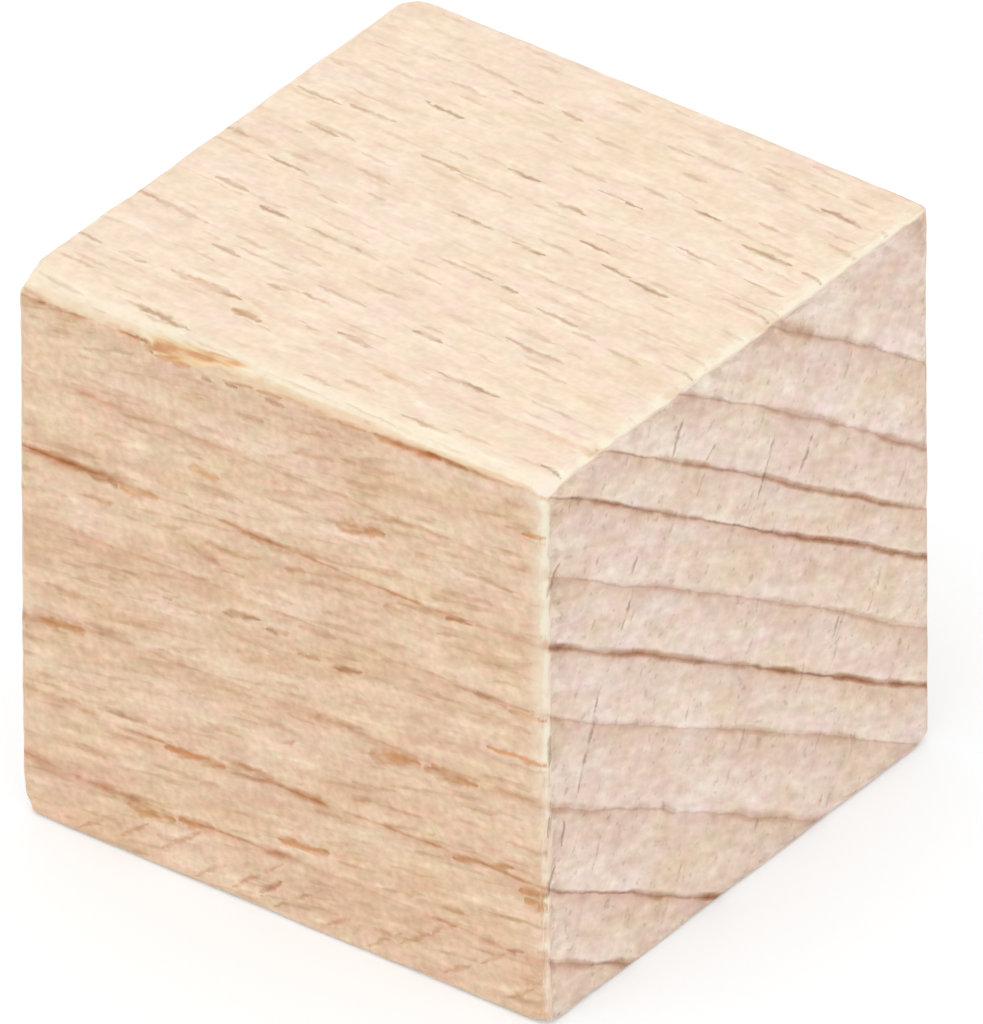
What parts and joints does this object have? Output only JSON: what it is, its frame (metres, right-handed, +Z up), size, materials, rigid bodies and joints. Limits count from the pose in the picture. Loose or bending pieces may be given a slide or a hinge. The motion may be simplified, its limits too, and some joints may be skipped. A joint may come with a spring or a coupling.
{
  "type": "wooden cube",
  "caption": "Small solid cube of pale beech with the grain along X, end grain on the two X faces, eased arrises and blunted corners.",
  "frame": {"origin": "middle of the base, on the surface that the cube stands on", "axes": "+Z up; +X along the grain, out of the right-hand end-grain face; -Y out of the front face, below the worn arris"},
  "size_m": [0.0204, 0.0202, 0.02],
  "materials": {
    "beech": "bare, sawn and lightly sanded, matte"
  },
  "bodies": {
    "root": {"wooden_cube": "beech"}
  },
  "joints": []
}
